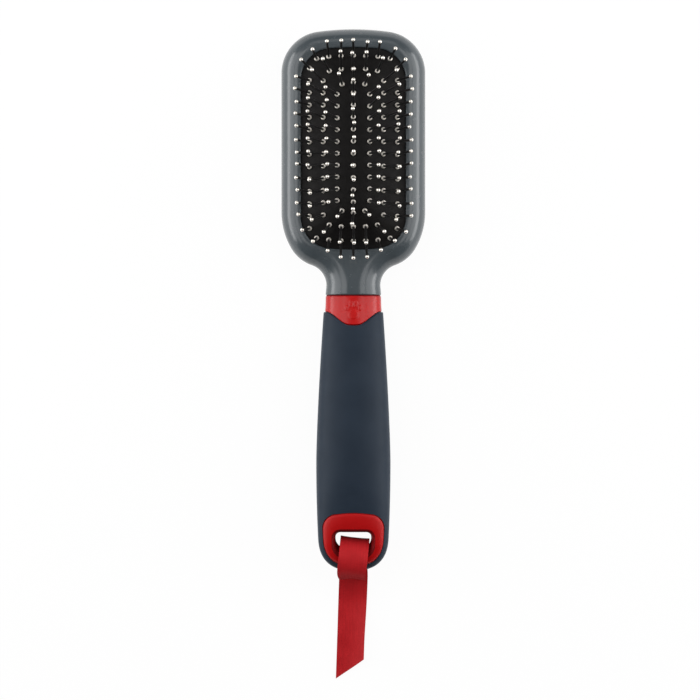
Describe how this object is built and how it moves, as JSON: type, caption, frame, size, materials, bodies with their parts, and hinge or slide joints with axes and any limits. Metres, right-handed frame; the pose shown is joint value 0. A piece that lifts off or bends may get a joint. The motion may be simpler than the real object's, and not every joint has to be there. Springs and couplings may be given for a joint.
{
  "type": "bristle brush",
  "caption": "Pet pin brush: rectangular head with ball-tipped pins in a domed rubber cushion, slim neck, red collar, soft handle and a ribbon looped through its hanging eyelet.",
  "frame": {"origin": "under the middle of the cushion, on the flat of the head's back", "axes": "+X across the head, +Y from the handle to the far end of the head, +Z towards the pin tips"},
  "size_m": [0.06, 0.2719, 0.0392],
  "materials": {
    "head": "polished moulding",
    "cushion": "matte",
    "pin": "dark, satin",
    "ball": "polished",
    "red_plastic": "gloss",
    "core": "as moulded",
    "grip": "soft touch",
    "ribbon": "woven satin ribbon",
    "thread": "sewing thread"
  },
  "bodies": {
    "brush": {"head_shell": "head", "cushion_pad": "cushion", "collar": "red_plastic", "handle_core": "core", "grip": "grip", "eyelet_front": "red_plastic", "eyelet_back": "red_plastic"},
    "centre": {"pins_centre": "pin", "tips_centre": "ball", "seats_centre": "ball"},
    "ring_3": {"pins_ring_3": "pin", "tips_ring_3": "ball", "seats_ring_3": "ball"},
    "ring_2": {"pins_ring_2": "pin", "tips_ring_2": "ball", "seats_ring_2": "ball"},
    "ring_1": {"pins_ring_1": "pin", "tips_ring_1": "ball", "seats_ring_1": "ball"},
    "hanger": {"ribbon": "ribbon", "ribbon_stitching": "thread"}
  },
  "joints": [
    {"name": "cushion_press", "type": "slide", "parent": "brush", "child": "centre", "axis": [0, 0, -1], "range_m": [0, 0.003], "stiffness_N_per_m": 600, "deforming": ["cushion_pad"]},
    {"name": "ring_3_press", "type": "slide", "parent": "brush", "child": "ring_3", "axis": [0, 0, -1], "range_m": [0, 0.00263], "stiffness_N_per_m": 600, "deforming": ["cushion_pad"]},
    {"name": "ring_2_press", "type": "slide", "parent": "brush", "child": "ring_2", "axis": [0, 0, -1], "range_m": [0, 0.00159], "stiffness_N_per_m": 600, "deforming": ["cushion_pad"]},
    {"name": "ring_1_press", "type": "slide", "parent": "brush", "child": "ring_1", "axis": [0, 0, -1], "range_m": [0, 0.000459], "stiffness_N_per_m": 600, "deforming": ["cushion_pad"]},
    {"name": "ribbon_swing", "type": "hinge", "parent": "brush", "child": "hanger", "pos_m": [0, -0.16995, 0.01308], "axis": [-1, 0, 0], "range_deg": [-75, 150]}
  ],
  "couplings": [
    {"joint": "ring_3_press", "follows": "cushion_press", "ratio": 0.86},
    {"joint": "ring_2_press", "follows": "cushion_press", "ratio": 0.52},
    {"joint": "ring_1_press", "follows": "cushion_press", "ratio": 0.15}
  ]
}
